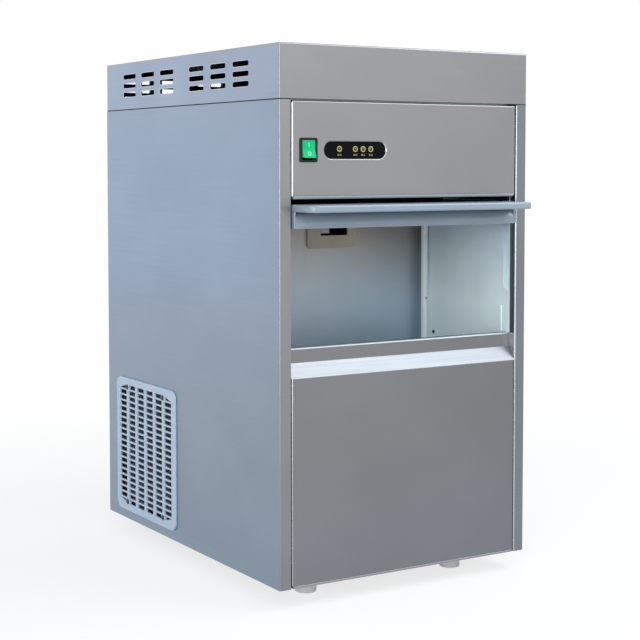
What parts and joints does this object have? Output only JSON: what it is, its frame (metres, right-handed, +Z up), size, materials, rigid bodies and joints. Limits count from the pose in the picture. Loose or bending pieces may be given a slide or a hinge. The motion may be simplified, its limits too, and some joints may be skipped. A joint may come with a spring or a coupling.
{
  "type": "flake ice machine",
  "caption": "Free-standing stainless flake ice machine with an ice bin behind an up-and-in door, a side air grille, a front control panel and an auger ice maker.",
  "frame": {"origin": "middle of the part's box on the floor under the feet", "axes": "+Z up, the front with the door faces -Y, +X to the right seen from the front"},
  "size_m": [0.3996, 0.601, 0.72],
  "materials": {
    "casing_steel": "satin brushed stainless sheet",
    "bin_steel": "satin stainless liner",
    "zinc_steel": "zinc-plated sheet",
    "screw_steel": "plated screws",
    "door_plastic": "light grey-blue moulded shell",
    "door_white": "white moulded liner",
    "grille_plastic": "light grey-blue moulding",
    "bin_plastic": "white food-safe moulding",
    "foot_plastic": "light grey moulding",
    "outlet_plastic": "beige-grey moulding",
    "white_plastic": "white moulding",
    "black_plastic": "black moulding",
    "display_black": "gloss black lens",
    "lamp_print": "pale yellow-green print",
    "rocker_green": "translucent green",
    "foam": "cream insulating foam",
    "hose": "grey flexible hose",
    "rubber": "black rubber",
    "copper": "copper tube",
    "aluminium": "mill-finish aluminium",
    "cast_grey": "cast aluminium housing",
    "motor_grey": "painted motor case",
    "compressor_black": "black painted steel shell",
    "fan_grey": "dark grey moulding",
    "board_green": "circuit board",
    "arm_steel": "stamped stainless arm"
  },
  "bodies": {
    "cabinet": {"base_pan": "zinc_steel", "front_left_foot": "foot_plastic", "front_right_foot": "foot_plastic", "rear_left_foot": "foot_plastic", "rear_right_foot": "foot_plastic", "left_side_panel": "casing_steel", "right_side_panel": "casing_steel", "back_panel": "zinc_steel", "top_cover": "casing_steel", "control_panel": "casing_steel", "lower_front_panel": "casing_steel", "side_grille": "grille_plastic", "panel_screws": "screw_steel", "bin_tub": "bin_steel", "left_bin_wall": "bin_plastic", "right_bin_wall": "bin_plastic", "bin_ceiling": "bin_steel", "bin_insulation": "foam", "sensor_tube": "white_plastic", "ice_outlet": "outlet_plastic", "bin_drain": "black_plastic", "drain_hose": "hose", "drain_tail": "black_plastic", "inlet_valve": "white_plastic", "inlet_hose": "hose", "power_gland": "black_plastic", "machine_deck": "zinc_steel", "gearbox": "cast_grey", "drive_motor": "motor_grey", "evaporator_barrel": "bin_steel", "evaporator_coil": "copper", "evaporator_jacket": "foam", "ice_head": "white_plastic", "water_tank": "white_plastic", "feed_hose": "hose", "compressor": "compressor_black", "compressor_grommets": "rubber", "condenser": "aluminium", "fan_shroud": "zinc_steel", "fan_motor": "motor_grey", "filter_drier": "copper", "discharge_pipe": "copper", "liquid_pipe": "copper", "suction_pipe": "copper", "control_board": "board_green", "switch_body": "black_plastic", "display_window": "display_black", "indicator_lamps": "lamp_print"},
    "door_links": {"left_link_arm": "arm_steel", "right_link_arm": "arm_steel"},
    "door": {"door_shell": "door_plastic", "door_liner": "door_white", "door_pins": "black_plastic"},
    "rocker": {"switch_rocker": "rocker_green"},
    "fan": {"fan_blade": "fan_grey"},
    "auger": {"auger": "bin_steel"},
    "tank_float": {"tank_float": "white_plastic"},
    "ice_flap": {"ice_flap": "white_plastic"}
  },
  "joints": [
    {"name": "door_link_swing", "type": "hinge", "parent": "cabinet", "child": "door_links", "pos_m": [0, -0.236, 0.51464], "axis": [-1, 0, 0], "range_deg": [0, 90]},
    {"name": "door_tilt", "type": "hinge", "parent": "door_links", "child": "door", "pos_m": [0, -0.17893, 0.50662], "axis": [1, 0, 0], "range_deg": [0, 180]},
    {"name": "rocker_tip", "type": "hinge", "parent": "cabinet", "child": "rocker", "pos_m": [-0.155, -0.2505, 0.586], "axis": [1, 0, 0], "range_deg": [0, 18]},
    {"name": "fan_spin", "type": "hinge", "parent": "cabinet", "child": "fan", "pos_m": [-0.138, 0.139, 0.137], "axis": [1, 0, 0], "continuous": true},
    {"name": "auger_spin", "type": "hinge", "parent": "cabinet", "child": "auger", "pos_m": [0.02, 0.0747, 0.367], "axis": [0, 0, 1], "continuous": true},
    {"name": "float_swing", "type": "hinge", "parent": "cabinet", "child": "tank_float", "pos_m": [-0.1243, 0.0657, 0.467], "axis": [0, 1, 0], "range_deg": [0, 14]},
    {"name": "flap_swing", "type": "hinge", "parent": "cabinet", "child": "ice_flap", "pos_m": [0.00765, -0.0325, 0.508], "axis": [-1, 0, 0], "range_deg": [0, 25]}
  ],
  "couplings": [
    {"joint": "door_tilt", "follows": "door_link_swing", "ratio": 2}
  ]
}
